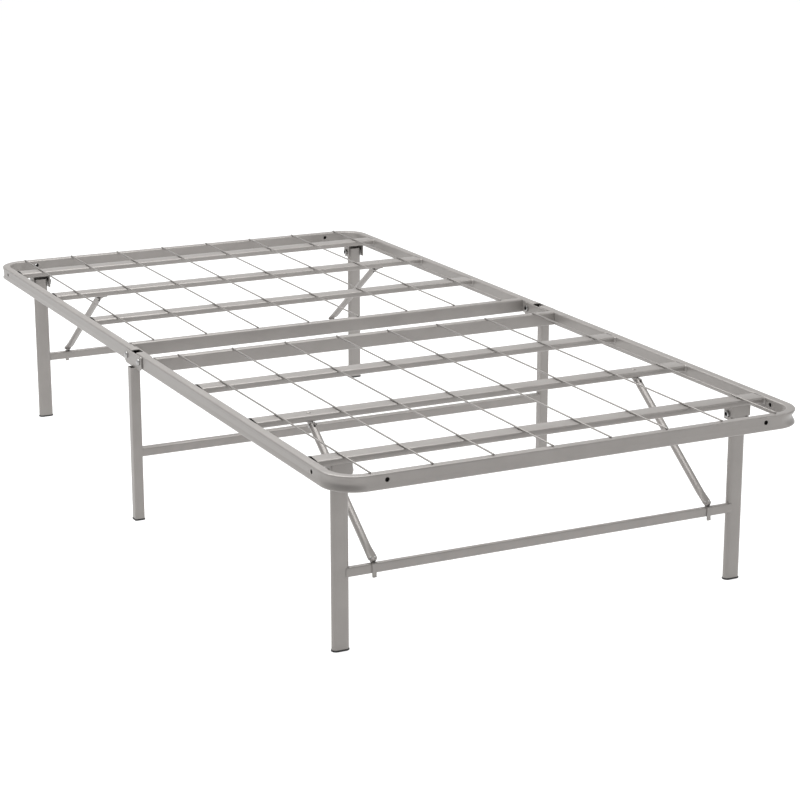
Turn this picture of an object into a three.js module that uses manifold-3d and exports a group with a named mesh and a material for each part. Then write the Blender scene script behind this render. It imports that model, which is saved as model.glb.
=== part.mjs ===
// Folding metal platform bed frame, in millimetres.
// X runs across the width, Y along the length towards the head, Z up; the floor is z = 0.
// Two U-shaped halves hinge on two centre brackets, and each half carries a folding pair of legs.

import * as THREE from 'three';
import { mergeVertices } from 'three/addons/utils/BufferGeometryUtils.js';
import Module from 'manifold-3d';

// ---- driving dimensions ----
const FRAME_LENGTH = 1905;
const FRAME_WIDTH = 940;
const RAIL_TOP = 351; // height of the mattress rails above the floor
const FIT_GAP = 0.3; // gap left between pieces that touch

const RAIL_WIDTH = 18;
const RAIL_HEIGHT = 28;
const RAIL_CORNER = 5;
const RAIL_WALL = 1.5;
const RAIL_BEND = 52; // bend radius on the tube's centre line
const RAIL_END_GAP = 24; // gap between the two halves' rail ends at the hinge

const SLAT_WIDTH = 38;
const SLAT_HEIGHT = 12;
const SLAT_WALL = 1.2;
const END_TO_SLAT = 128.5; // outer end of the frame to the first slat's centre
const SLAT_PITCH = 259;
const SLATS_PER_HALF = 3;
const CROSS_RAIL_Y = 69; // middle of the frame to the hinge cross rail's centre

const WIRE_DIAMETER = 3.2;
const WIRES_PER_HALF = 8;
const WIRE_INSET = 49.5; // inner face of the side rail to the outermost wire

const LEG_WIDTH = 32;
const LEG_DEPTH = 16;
const LEG_WALL = 1.5;
const LEG_INSET = 66; // outer side of the frame to the end leg's centre
const LEG_PIVOT_DROP = 28; // rail top to the leg's pivot bolt
const LEG_TOP_RISE = 8; // leg's top above its pivot
const CENTRE_LEG_SIDE = 20;
const CENTRE_LEG_OUTSET = 10; // side rail's centre to the centre leg's centre, outward
const CENTRE_LEG_CORNER = 3;
const PAD_HEIGHT = 3;
const PAD_OVERHANG = 1; // pad beyond the leg's side, all round

const STRETCHER_Z = 142; // centre of every stretcher above the floor
const STRETCHER_HEIGHT = 18;
const STRETCHER_DEPTH = 10;
const STRETCHER_CORNER = 3;
const STRETCHER_OFFSET = 4; // end stretcher's centre, outward of the end legs' centre
const CENTRE_STRETCHER_DEPTH = 18;

const PLATE_THICKNESS = 2.5;
const PLATE_HALF_LENGTH = 49;
const PLATE_TOP_DROP = 2; // rail top to the hinge plate's top
const PLATE_LOWER_CORNER = 14;
const PLATE_UPPER_CORNER = 5;
const HINGE_BOLT_Y = 34; // middle of the frame to each hinge bolt
const HINGE_SIDE_GAP = 0.5; // rail side to hinge plate
const HINGE_WEB_HALF_LENGTH = 18;

const BOLT_RADIUS = 4;
const BOLT_HOLE_RADIUS = 4.4;
const BOLT_HEAD_RADIUS = 7;
const BOLT_HEAD_HEIGHT = 4.5;
const BOLT_CROWN_RADIUS = 4.2; // flat top of the domed head
const BOLT_DOME_HEIGHT = 2;
const NUT_COLLAR_RADIUS = 5.2;
const NUT_COLLAR_HEIGHT = 1.5;

const HOLE_RADIUS = 4; // headboard fixing holes near each corner
const HOLE_INSET = 94; // outer corner to each fixing hole
const HOLE_DROP = 11; // rail top to the fixing holes

const LEG_EAR_GAP = 2; // leg side to bracket ear
const LEG_EAR_DROP = 11; // pivot to the ear's lower edge
const LEG_WEB_REACH = 12; // pivot to the bracket web's inner face

const BRACE_INSET = 127; // outer side of the frame to the brace
const BRACE_PIVOT_REACH = 17; // slat centre to the brace's pivot
const BRACE_PIVOT_DROP = 19.5; // rail top to the brace's pivot
const BRACE_RADIUS = 7;
const BRACE_BORE = 5.5;
const BRACE_TOP_REACH = 3; // the tube's upper end beyond its pivot
const BRACE_PRESSED_END = 6; // solid length where the tube's lower end is pressed shut
const BRACE_PIN_RADIUS = 3;
const BRACE_PIN_GAP = 0.4;
const BRACE_PIN_OVERHANG = 1; // pin end beyond the tube's side
const BRACE_SLOT_REACH = 9; // pivot to the closed end of the tube's slot
const BRACE_SLOT_GAP = 0.5; // each side of the tab
const TAB_THICKNESS = 3;
const TAB_OUTER_REACH = 6; // pivot to the tab's outer edge
const TAB_DROP = 5; // pivot to the tab's lower edge
const TAB_CHAMFER = 2;
const TAB_PLATE_HALF_WIDTH = 8.5;
const TAB_PLATE_THICKNESS = 2;
const TAB_PLATE_INSET = 5; // slat's inner edge to the tab plate
const TAB_PLATE_END = 7; // tab plate's outer end to the pivot
const BRACE_CLIP_HALF_WIDTH = 4.5;
const CLIP_THICKNESS = 2.5;
const CLIP_GAP = 0.6; // clip to stretcher
const CLIP_LIP_DROP = 8; // clip lip below the stretcher
const CLIP_ROOT_INSET = 3; // tube end's centre to the clip's root, inward
const CLIP_ROOT_RISE = 4.5;
const CLIP_ROOT_DROP = 2.5;
const BRACE_END_RISE = 7.5; // stretcher's top to the tube end's centre

// ---- places worked out from the dimensions ----
const END_RAIL_Y = FRAME_LENGTH / 2 - RAIL_WIDTH / 2;
const SIDE_RAIL_X = FRAME_WIDTH / 2 - RAIL_WIDTH / 2;
const INNER_HALF_WIDTH = FRAME_WIDTH / 2 - RAIL_WIDTH;
const RAIL_MID_Z = RAIL_TOP - RAIL_HEIGHT / 2;
const RAIL_BOTTOM = RAIL_TOP - RAIL_HEIGHT;
const SLAT_BOTTOM = RAIL_TOP - SLAT_HEIGHT;
const FIRST_SLAT_Y = FRAME_LENGTH / 2 - END_TO_SLAT;
const BRACE_SLAT_Y = FIRST_SLAT_Y - SLAT_PITCH;
const LEG_X = FRAME_WIDTH / 2 - LEG_INSET;
const LEG_PIVOT_Z = RAIL_TOP - LEG_PIVOT_DROP;
const STRETCHER_Y = FIRST_SLAT_Y + STRETCHER_OFFSET;
const STRETCHER_TOP = STRETCHER_Z + STRETCHER_HEIGHT / 2;
const BRACE_X = FRAME_WIDTH / 2 - BRACE_INSET;
const BRACE_PIVOT_Y = BRACE_SLAT_Y + BRACE_PIVOT_REACH;
const BRACE_PIVOT_Z = RAIL_TOP - BRACE_PIVOT_DROP;

// ---- materials ----
const paint = new THREE.MeshStandardMaterial({ color: 0xa39b94, roughness: 0.42, metalness: 0.45 });
const wirePaint = new THREE.MeshStandardMaterial({ color: 0x9d958e, roughness: 0.45, metalness: 0.45 });
const zinc = new THREE.MeshStandardMaterial({ color: 0xb9bcc0, roughness: 0.3, metalness: 0.9 });
const blackPlastic = new THREE.MeshStandardMaterial({ color: 0x1b1b1c, roughness: 0.7, metalness: 0 });

// ---- solids ----
const wasm = await Module();
wasm.setup();

const ARC_STEPS = 2; // half the number of flats on each arc of a section
const AXIS_X = new THREE.Vector3(1, 0, 0);
const AXIS_Y = new THREE.Vector3(0, 1, 0);
const AXIS_Z = new THREE.Vector3(0, 0, 1);

function solidOf(geometry) {
  geometry.deleteAttribute('normal');
  geometry.deleteAttribute('uv');
  const merged = mergeVertices(geometry);
  const vertProperties = new Float32Array(merged.attributes.position.array);
  const triVerts = new Uint32Array(merged.index.array);
  return new wasm.Manifold(new wasm.Mesh({ numProp: 3, vertProperties, triVerts }));
}

function geometryOf(solid) {
  const mesh = solid.getMesh();
  const geometry = new THREE.BufferGeometry();
  geometry.setAttribute('position', new THREE.BufferAttribute(new Float32Array(mesh.vertProperties), 3));
  geometry.setIndex(new THREE.BufferAttribute(new Uint32Array(mesh.triVerts), 1));
  geometry.computeVertexNormals();
  return geometry;
}

// An upright rectangle with round corners, centred on (0, 0).
function roundedRectangle(width, height, corner) {
  const shape = new THREE.Shape();
  const a = width / 2 - corner;
  const b = height / 2 - corner;
  shape.absarc(a, -b, corner, -Math.PI / 2, 0);
  shape.absarc(a, b, corner, 0, Math.PI / 2);
  shape.absarc(-a, b, corner, Math.PI / 2, Math.PI);
  shape.absarc(-a, -b, corner, Math.PI, Math.PI * 1.5);
  return shape;
}

// A flat oval: two half circles joined by straight sides, longer along its first axis.
function flatOval(width, height) {
  const shape = new THREE.Shape();
  const a = (width - height) / 2;
  shape.absarc(a, 0, height / 2, -Math.PI / 2, Math.PI / 2);
  shape.absarc(-a, 0, height / 2, Math.PI / 2, Math.PI * 1.5);
  return shape;
}

function polygon(points) {
  return new THREE.Shape(points.map(([u, v]) => new THREE.Vector2(u, v)));
}

// A section drawn as (y, z) and run along X from x0 to x1.
function alongX(shape, x0, x1, curveSegments = ARC_STEPS) {
  const geometry = new THREE.ExtrudeGeometry(shape, { depth: x1 - x0, bevelEnabled: false, curveSegments });
  geometry.applyMatrix4(new THREE.Matrix4().makeBasis(AXIS_Y, AXIS_Z, AXIS_X));
  geometry.translate(x0, 0, 0);
  return solidOf(geometry);
}

// A section drawn as (x, y) and run up from z0 to z1.
function alongZ(shape, z0, z1, curveSegments = ARC_STEPS) {
  const geometry = new THREE.ExtrudeGeometry(shape, { depth: z1 - z0, bevelEnabled: false, curveSegments });
  geometry.translate(0, 0, z0);
  return solidOf(geometry);
}

function block(x0, x1, y0, y1, z0, z1) {
  const geometry = new THREE.BoxGeometry(Math.abs(x1 - x0), Math.abs(y1 - y0), z1 - z0);
  geometry.translate((x0 + x1) / 2, (y0 + y1) / 2, (z0 + z1) / 2);
  return solidOf(geometry);
}

function rodAlong(axis, radius, length, sides, x, y, z) {
  const geometry = new THREE.CylinderGeometry(radius, radius, length, sides);
  const turn = new THREE.Quaternion().setFromUnitVectors(AXIS_Y, axis);
  geometry.applyMatrix4(new THREE.Matrix4().makeRotationFromQuaternion(turn));
  geometry.translate(x, y, z);
  return solidOf(geometry);
}

// A tube with open ends: an outer section less an inner one that runs past both ends.
function hollowAlongX(section, wall, width, height, corner, x0, x1) {
  const outer = alongX(section(width, height, corner), x0, x1);
  const innerCorner = Math.max(corner - wall, 0.5);
  const bore = alongX(section(width - 2 * wall, height - 2 * wall, innerCorner), x0 - 1, x1 + 1);
  return outer.subtract(bore);
}

function hollowAlongZ(section, wall, width, height, corner, z0, z1) {
  const outer = alongZ(section(width, height, corner), z0, z1);
  const innerCorner = Math.max(corner - wall, 0.5);
  const bore = alongZ(section(width - 2 * wall, height - 2 * wall, innerCorner), z0 - 1, z1 + 1);
  return outer.subtract(bore);
}

const frame = new THREE.Group();

function place(name, solid, material) {
  const mesh = new THREE.Mesh(geometryOf(solid), material);
  mesh.name = name;
  frame.add(mesh);
}

// ---- bent side and end rail of one half ----
// A level path given by stations: each has its own point and direction of travel.
class RailPath extends THREE.Curve {
  constructor(stations) {
    super();
    this.stations = stations;
  }

  stationAt(u) {
    return this.stations[Math.round(u * (this.stations.length - 1))];
  }

  getPoint(u, target = new THREE.Vector3()) {
    return target.copy(this.stationAt(u).point);
  }

  getPointAt(u, target) {
    return this.getPoint(u, target);
  }

  getTangentAt(u, target = new THREE.Vector3()) {
    return target.copy(this.stationAt(u).tangent);
  }
}

const BEND_STEPS = 6;

function railStations(side, overrun) {
  const stations = [];
  const straightEnd = END_RAIL_Y - RAIL_BEND;
  const add = (x, y, dx, dy) => {
    const point = new THREE.Vector3(x, side * y, RAIL_MID_Z);
    stations.push({ point, tangent: new THREE.Vector3(dx, side * dy, 0).normalize() });
  };
  add(-SIDE_RAIL_X, RAIL_END_GAP / 2 - overrun, 0, 1);
  for (let i = 0; i <= BEND_STEPS; i += 1) {
    const a = (i / BEND_STEPS) * Math.PI / 2;
    const x = -SIDE_RAIL_X + RAIL_BEND * (1 - Math.cos(a));
    add(x, straightEnd + RAIL_BEND * Math.sin(a), Math.sin(a), Math.cos(a));
  }
  for (let i = 0; i <= BEND_STEPS; i += 1) {
    const a = (i / BEND_STEPS) * Math.PI / 2;
    const x = SIDE_RAIL_X - RAIL_BEND * (1 - Math.sin(a));
    add(x, straightEnd + RAIL_BEND * Math.cos(a), Math.cos(a), -Math.sin(a));
  }
  add(SIDE_RAIL_X, RAIL_END_GAP / 2 - overrun, 0, -1);
  return stations;
}

function railSweep(side, width, height, corner, overrun) {
  const path = new RailPath(railStations(side, overrun));
  const section = roundedRectangle(height, width, corner);
  const steps = path.stations.length - 1;
  return solidOf(new THREE.ExtrudeGeometry(section, { extrudePath: path, steps, curveSegments: 1 }));
}

function bentRail(side) {
  const outer = railSweep(side, RAIL_WIDTH, RAIL_HEIGHT, RAIL_CORNER, 0);
  const boreWidth = RAIL_WIDTH - 2 * RAIL_WALL;
  const boreHeight = RAIL_HEIGHT - 2 * RAIL_WALL;
  let rail = outer.subtract(railSweep(side, boreWidth, boreHeight, RAIL_CORNER - RAIL_WALL, 1));
  const through = RAIL_WIDTH + 4;
  const holeZ = RAIL_TOP - HOLE_DROP;
  for (const x of [-1, 1]) {
    const railX = x * SIDE_RAIL_X;
    const sideHoleY = side * (FRAME_LENGTH / 2 - HOLE_INSET);
    const endHoleX = x * (FRAME_WIDTH / 2 - HOLE_INSET);
    const hingeY = side * HINGE_BOLT_Y;
    rail = rail.subtract(rodAlong(AXIS_X, BOLT_HOLE_RADIUS, through, 10, railX, hingeY, RAIL_MID_Z));
    rail = rail.subtract(rodAlong(AXIS_X, HOLE_RADIUS, through, 10, railX, sideHoleY, holeZ));
    rail = rail.subtract(rodAlong(AXIS_Y, HOLE_RADIUS, through, 10, endHoleX, side * END_RAIL_Y, holeZ));
  }
  return rail;
}

// ---- straight cross pieces ----
function crossRail(side) {
  const reach = INNER_HALF_WIDTH - FIT_GAP;
  const section = roundedRectangle;
  const rail = hollowAlongX(section, RAIL_WALL, RAIL_WIDTH, RAIL_HEIGHT, RAIL_CORNER, -reach, reach);
  return rail.translate([0, side * CROSS_RAIL_Y, RAIL_MID_Z]);
}

function slat(y) {
  const reach = INNER_HALF_WIDTH - FIT_GAP;
  const tube = hollowAlongX(flatOval, SLAT_WALL, SLAT_WIDTH, SLAT_HEIGHT, SLAT_HEIGHT / 2, -reach, reach);
  return tube.translate([0, y, RAIL_TOP - SLAT_HEIGHT / 2]);
}

// A pair of ears with an outer web, hung under the first slat; the leg folds inward between the ears.
function legBracket(x, side) {
  const earInner = LEG_WIDTH / 2 + LEG_EAR_GAP;
  const earOuter = earInner + PLATE_THICKNESS;
  const earTop = SLAT_BOTTOM + SLAT_WALL;
  const earBottom = LEG_PIVOT_Z - LEG_EAR_DROP;
  const outerY = FIRST_SLAT_Y + LEG_WEB_REACH + PLATE_THICKNESS;
  const innerY = FIRST_SLAT_Y - LEG_WEB_REACH;
  const webInner = FIRST_SLAT_Y + LEG_WEB_REACH;
  let bracket = block(x - earOuter, x + earOuter, side * webInner, side * outerY, earBottom, earTop);
  for (const ear of [-1, 1]) {
    const x0 = Math.min(x + ear * earInner, x + ear * earOuter);
    const plate = block(x0, x0 + PLATE_THICKNESS, side * innerY, side * outerY, earBottom, earTop);
    bracket = bracket.add(plate);
  }
  const hole = rodAlong(AXIS_X, BOLT_HOLE_RADIUS, 3 * earOuter, 10, x, side * FIRST_SLAT_Y, LEG_PIVOT_Z);
  return bracket.subtract(hole);
}

function firstSlat(side) {
  let piece = slat(side * FIRST_SLAT_Y);
  for (const x of [-LEG_X, LEG_X]) {
    piece = piece.add(legBracket(x, side));
  }
  return piece;
}

// ---- hinge brackets of the centre frame ----
function hingeBracket(x) {
  const inner = RAIL_WIDTH / 2 + HINGE_SIDE_GAP;
  const outer = inner + PLATE_THICKNESS;
  const webTop = RAIL_BOTTOM - HINGE_SIDE_GAP;
  const plateBottom = webTop - PLATE_THICKNESS;
  const plateTop = RAIL_TOP - PLATE_TOP_DROP;
  const lowerY = PLATE_HALF_LENGTH - PLATE_LOWER_CORNER;
  const upperY = PLATE_HALF_LENGTH - PLATE_UPPER_CORNER;
  const outline = new THREE.Shape();
  outline.absarc(lowerY, plateBottom + PLATE_LOWER_CORNER, PLATE_LOWER_CORNER, -Math.PI / 2, 0);
  outline.absarc(upperY, plateTop - PLATE_UPPER_CORNER, PLATE_UPPER_CORNER, 0, Math.PI / 2);
  outline.absarc(-upperY, plateTop - PLATE_UPPER_CORNER, PLATE_UPPER_CORNER, Math.PI / 2, Math.PI);
  outline.absarc(-lowerY, plateBottom + PLATE_LOWER_CORNER, PLATE_LOWER_CORNER, Math.PI, Math.PI * 1.5);
  const web = HINGE_WEB_HALF_LENGTH;
  let bracket = block(x - outer, x + outer, -web, web, plateBottom, webTop);
  bracket = bracket.add(alongX(outline, x - outer, x - inner));
  bracket = bracket.add(alongX(outline, x + inner, x + outer));
  for (const y of [-HINGE_BOLT_Y, HINGE_BOLT_Y]) {
    bracket = bracket.subtract(rodAlong(AXIS_X, BOLT_HOLE_RADIUS, 3 * outer, 10, x, y, RAIL_MID_Z));
  }
  return bracket;
}

// A bolt with a domed head on the outside of the frame and a lock nut on the inside.
function bolt(x, y, z, gripHalf) {
  const head = gripHalf + FIT_GAP;
  const tip = head + BOLT_HEAD_HEIGHT;
  const profile = [
    [0, -tip],
    [BOLT_CROWN_RADIUS, -tip],
    [BOLT_HEAD_RADIUS, -tip + BOLT_DOME_HEIGHT],
    [BOLT_HEAD_RADIUS, -head],
    [BOLT_RADIUS, -head],
    [BOLT_RADIUS, head],
    [BOLT_HEAD_RADIUS, head],
    [BOLT_HEAD_RADIUS, tip - NUT_COLLAR_HEIGHT],
    [NUT_COLLAR_RADIUS, tip],
    [0, tip],
  ];
  const geometry = new THREE.LatheGeometry(profile.map(([r, h]) => new THREE.Vector2(r, h)), 10);
  geometry.rotateZ(x < 0 ? -Math.PI / 2 : Math.PI / 2);
  geometry.translate(x, y, z);
  return solidOf(geometry);
}

// ---- legs, feet and stretchers ----
function endLeg(x, side) {
  const top = LEG_PIVOT_Z + LEG_TOP_RISE;
  const bottom = PAD_HEIGHT + FIT_GAP;
  const y = side * FIRST_SLAT_Y;
  const tube = hollowAlongZ(flatOval, LEG_WALL, LEG_WIDTH, LEG_DEPTH, LEG_DEPTH / 2, bottom, top);
  const hole = rodAlong(AXIS_X, BOLT_HOLE_RADIUS, LEG_WIDTH + 4, 10, x, y, LEG_PIVOT_Z);
  return tube.translate([x, y, 0]).subtract(hole);
}

function centreLeg(x) {
  const top = RAIL_BOTTOM - HINGE_SIDE_GAP - PLATE_THICKNESS - FIT_GAP;
  const bottom = PAD_HEIGHT + FIT_GAP;
  const square = roundedRectangle;
  const tube = hollowAlongZ(
    square, LEG_WALL, CENTRE_LEG_SIDE, CENTRE_LEG_SIDE, CENTRE_LEG_CORNER, bottom, top);
  return tube.translate([x, 0, 0]);
}

function endPad(x, y) {
  const pad = alongZ(flatOval(LEG_WIDTH + 2 * PAD_OVERHANG, LEG_DEPTH + 2 * PAD_OVERHANG), 0, PAD_HEIGHT);
  return pad.translate([x, y, 0]);
}

function centrePad(x) {
  const side = CENTRE_LEG_SIDE + 2 * PAD_OVERHANG;
  const pad = alongZ(roundedRectangle(side, side, CENTRE_LEG_CORNER + PAD_OVERHANG), 0, PAD_HEIGHT);
  return pad.translate([x, 0, 0]);
}

function stretcher(reach, depth, y) {
  const tube = hollowAlongX(
    roundedRectangle, LEG_WALL, depth, STRETCHER_HEIGHT, STRETCHER_CORNER, -reach, reach);
  return tube.translate([0, y, STRETCHER_Z]);
}

// ---- diagonal braces ----
// A small plate under the slat with a tab below it, which stands in the slotted end of the brace.
function braceBracket(x, side) {
  const top = SLAT_BOTTOM - FIT_GAP;
  const plateUnder = top - TAB_PLATE_THICKNESS;
  const innerY = BRACE_SLAT_Y - SLAT_WIDTH / 2 + TAB_PLATE_INSET;
  const plateEnd = BRACE_PIVOT_Y - TAB_PLATE_END;
  const outerY = BRACE_PIVOT_Y + TAB_OUTER_REACH;
  const bottom = BRACE_PIVOT_Z - TAB_DROP;
  const halfWidth = TAB_PLATE_HALF_WIDTH;
  const plate = block(x - halfWidth, x + halfWidth, side * innerY, side * plateEnd, plateUnder, top);
  const outline = polygon([
    [side * innerY, top],
    [side * innerY, plateUnder],
    [side * plateEnd, bottom],
    [side * (outerY - TAB_CHAMFER), bottom],
    [side * outerY, bottom + TAB_CHAMFER],
    [side * outerY, top],
  ]);
  const tab = alongX(outline, x - TAB_THICKNESS / 2, x + TAB_THICKNESS / 2);
  const radius = BRACE_PIN_RADIUS + BRACE_PIN_GAP;
  const hole = rodAlong(AXIS_X, radius, 2 * TAB_THICKNESS, 12, x, side * BRACE_PIVOT_Y, BRACE_PIVOT_Z);
  return plate.add(tab).subtract(hole);
}

// The tube turns on a pin through the tab; its lower end hooks over the stretcher with a clip.
function brace(x, side) {
  const innerFace = STRETCHER_Y - STRETCHER_DEPTH / 2;
  const outerFace = STRETCHER_Y + STRETCHER_DEPTH / 2;
  const endZ = STRETCHER_TOP + BRACE_END_RISE;
  const pivot = new THREE.Vector3(x, side * BRACE_PIVOT_Y, BRACE_PIVOT_Z);
  const end = new THREE.Vector3(x, side * innerFace, endZ);
  const along = end.clone().sub(pivot).normalize();
  const turn = new THREE.Quaternion().setFromUnitVectors(AXIS_Z, along);

  const start = pivot.clone().addScaledVector(along, -BRACE_TOP_REACH);
  const middle = start.clone().add(end).multiplyScalar(0.5);
  const length = start.distanceTo(end);
  const boreMiddle = middle.clone().addScaledVector(along, -BRACE_PRESSED_END);
  const outside = rodAlong(along, BRACE_RADIUS, length, 10, middle.x, middle.y, middle.z);
  const bore = rodAlong(along, BRACE_BORE, length, 10, boreMiddle.x, boreMiddle.y, boreMiddle.z);
  const slotWidth = TAB_THICKNESS + 2 * BRACE_SLOT_GAP;
  const slot = new THREE.BoxGeometry(slotWidth, 3 * BRACE_RADIUS, 2 * BRACE_SLOT_REACH);
  slot.applyMatrix4(new THREE.Matrix4().makeRotationFromQuaternion(turn));
  slot.translate(pivot.x, pivot.y, pivot.z);
  const pinLength = 2 * (BRACE_RADIUS + BRACE_PIN_OVERHANG);
  const pin = rodAlong(AXIS_X, BRACE_PIN_RADIUS, pinLength, 12, x, pivot.y, pivot.z);
  const tube = outside.subtract(bore).subtract(solidOf(slot)).add(pin);

  const clipUnder = STRETCHER_TOP + CLIP_GAP;
  const lipInner = outerFace + CLIP_GAP;
  const lipOuter = lipInner + CLIP_THICKNESS;
  const lipBottom = STRETCHER_Z - STRETCHER_HEIGHT / 2 - CLIP_LIP_DROP;
  const rootY = innerFace - CLIP_ROOT_INSET;
  const clip = polygon([
    [side * lipInner, lipBottom],
    [side * lipOuter, lipBottom],
    [side * lipOuter, clipUnder + CLIP_THICKNESS],
    [side * rootY, endZ + CLIP_ROOT_RISE],
    [side * rootY, endZ - CLIP_ROOT_DROP],
    [side * lipInner, clipUnder],
  ]);
  return tube.add(alongX(clip, x - BRACE_CLIP_HALF_WIDTH, x + BRACE_CLIP_HALF_WIDTH));
}

// ---- the two halves and their legs ----
const wirePitch = 2 * (INNER_HALF_WIDTH - WIRE_INSET) / (WIRES_PER_HALF - 1);
const wireZ = RAIL_TOP + FIT_GAP + WIRE_DIAMETER / 2;
const wireLength = END_RAIL_Y - CROSS_RAIL_Y;
const wireMiddle = (END_RAIL_Y + CROSS_RAIL_Y) / 2;

for (const [half, side] of [['foot', -1], ['head', 1]]) {
  place(`${half}_rail`, bentRail(side), paint);
  place(`${half}_hinge_cross_rail`, crossRail(side), paint);
  place(`${half}_slat_1_with_leg_brackets`, firstSlat(side), paint);
  for (let i = 1; i < SLATS_PER_HALF; i += 1) {
    place(`${half}_slat_${i + 1}`, slat(side * (FIRST_SLAT_Y - i * SLAT_PITCH)), paint);
  }
  for (let i = 0; i < WIRES_PER_HALF; i += 1) {
    const x = -INNER_HALF_WIDTH + WIRE_INSET + i * wirePitch;
    const wire = rodAlong(AXIS_Y, WIRE_DIAMETER / 2, wireLength, 6, x, side * wireMiddle, wireZ);
    place(`${half}_wire_${i + 1}`, wire, wirePaint);
  }
  const legGrip = LEG_WIDTH / 2 + LEG_EAR_GAP + PLATE_THICKNESS;
  for (const [hand, sign] of [['left', -1], ['right', 1]]) {
    const legX = sign * LEG_X;
    const legY = side * FIRST_SLAT_Y;
    place(`${half}_leg_${hand}`, endLeg(legX, side), paint);
    place(`${half}_leg_${hand}_pad`, endPad(legX, legY), blackPlastic);
    place(`${half}_leg_${hand}_bolt`, bolt(legX, legY, LEG_PIVOT_Z, legGrip), zinc);
    place(`${half}_brace_${hand}`, brace(sign * BRACE_X, side), paint);
    place(`${half}_brace_${hand}_bracket`, braceBracket(sign * BRACE_X, side), paint);
  }
  const endReach = LEG_X - LEG_WIDTH / 2 - FIT_GAP;
  place(`${half}_stretcher`, stretcher(endReach, STRETCHER_DEPTH, side * STRETCHER_Y), paint);
}

// ---- the centre frame ----
for (const [hand, sign] of [['left', -1], ['right', 1]]) {
  const x = sign * SIDE_RAIL_X;
  const grip = RAIL_WIDTH / 2 + HINGE_SIDE_GAP + PLATE_THICKNESS;
  place(`centre_hinge_bracket_${hand}`, hingeBracket(x), paint);
  const legX = sign * (SIDE_RAIL_X + CENTRE_LEG_OUTSET);
  place(`centre_leg_${hand}`, centreLeg(legX), paint);
  place(`centre_leg_${hand}_pad`, centrePad(legX), blackPlastic);
  place(`hinge_bolt_foot_${hand}`, bolt(x, -HINGE_BOLT_Y, RAIL_MID_Z, grip), zinc);
  place(`hinge_bolt_head_${hand}`, bolt(x, HINGE_BOLT_Y, RAIL_MID_Z, grip), zinc);
}
const centreReach = SIDE_RAIL_X + CENTRE_LEG_OUTSET - CENTRE_LEG_SIDE / 2 - FIT_GAP;
place('centre_stretcher', stretcher(centreReach, CENTRE_STRETCHER_DEPTH, 0), paint);

export default frame;
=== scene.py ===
import math

import bmesh
import bpy
from mathutils import Matrix, Vector


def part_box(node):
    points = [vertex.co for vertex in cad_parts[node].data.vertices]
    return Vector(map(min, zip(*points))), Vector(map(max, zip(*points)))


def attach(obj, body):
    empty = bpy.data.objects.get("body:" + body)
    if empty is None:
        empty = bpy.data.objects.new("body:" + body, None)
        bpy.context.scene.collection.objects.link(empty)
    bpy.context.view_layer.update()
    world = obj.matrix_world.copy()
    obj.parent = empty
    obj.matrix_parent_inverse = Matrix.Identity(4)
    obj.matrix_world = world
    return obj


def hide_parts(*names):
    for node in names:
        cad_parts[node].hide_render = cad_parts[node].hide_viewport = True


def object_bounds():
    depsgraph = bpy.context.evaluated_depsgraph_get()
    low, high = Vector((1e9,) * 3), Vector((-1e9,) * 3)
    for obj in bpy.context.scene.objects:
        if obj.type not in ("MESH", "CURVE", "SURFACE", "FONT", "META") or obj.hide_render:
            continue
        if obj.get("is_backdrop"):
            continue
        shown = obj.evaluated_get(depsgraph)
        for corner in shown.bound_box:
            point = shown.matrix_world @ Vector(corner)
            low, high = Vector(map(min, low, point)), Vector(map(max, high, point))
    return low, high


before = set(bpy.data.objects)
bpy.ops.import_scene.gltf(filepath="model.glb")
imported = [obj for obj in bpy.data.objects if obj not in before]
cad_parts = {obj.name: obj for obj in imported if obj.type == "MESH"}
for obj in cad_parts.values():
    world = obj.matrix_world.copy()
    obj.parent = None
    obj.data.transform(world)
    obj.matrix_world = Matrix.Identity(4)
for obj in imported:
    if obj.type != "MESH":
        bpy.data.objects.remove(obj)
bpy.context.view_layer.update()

# ---- Camera ----
# A long lens a little above the frame, off its near left corner, far enough back that the whole
# frame fits with a margin round it.
CAMERA_PLACE = (-1.883, -4.021, 1.421)
CAMERA_YAW = math.radians(26.5)
CAMERA_PITCH = math.radians(-15.47)
CAMERA_LENS = 98.65
CAMERA_SENSOR = 36
CAMERA_FAR_LIMIT = 60
camera_data = bpy.data.cameras.new("camera")
camera_data.lens = CAMERA_LENS
camera_data.sensor_width = CAMERA_SENSOR
camera_data.clip_end = CAMERA_FAR_LIMIT
camera = bpy.data.objects.new("camera", camera_data)
camera.location = CAMERA_PLACE
camera.rotation_euler = (math.radians(90) + CAMERA_PITCH, 0, -CAMERA_YAW)
bpy.context.scene.collection.objects.link(camera)
bpy.context.scene.camera = camera

# ---- Floor and light ----
# A pale seamless floor that glows faintly, as a lit table does, so that it shows no hard shadow,
# with a dim even sky that is brighter low down, one large soft light overhead and one at the side.
FLOOR_HALF_SIZE = 30
FLOOR_GREY = 0.32
FLOOR_GLOW = 0.85
SKY_LOW = 1.0
SKY_HIGH = 0.42
SKY_FADE_START = 0.05
SKY_FADE_END = 0.5
OVERHEAD_PLACE = (-0.3, 0.5, 3.2)
OVERHEAD_TARGET = (0, 0, 0.3)
OVERHEAD_SIZE = 3.5
OVERHEAD_POWER = 190
SIDE_PLACE = (3.6, -3.4, 1.8)
SIDE_TARGET = (0.3, -0.6, 0.2)
SIDE_SIZE = 2.0
SIDE_POWER = 30
floor_bm = bmesh.new()
bmesh.ops.create_grid(floor_bm, x_segments=1, y_segments=1, size=FLOOR_HALF_SIZE)
floor_mesh = bpy.data.meshes.new("studio_floor")
floor_bm.to_mesh(floor_mesh)
floor_bm.free()
floor_material = bpy.data.materials.new("studio_floor")
floor_material.use_nodes = True
floor_shader = floor_material.node_tree.nodes["Principled BSDF"]
floor_shader.inputs["Base Color"].default_value = (FLOOR_GREY, FLOOR_GREY, FLOOR_GREY, 1)
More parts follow.
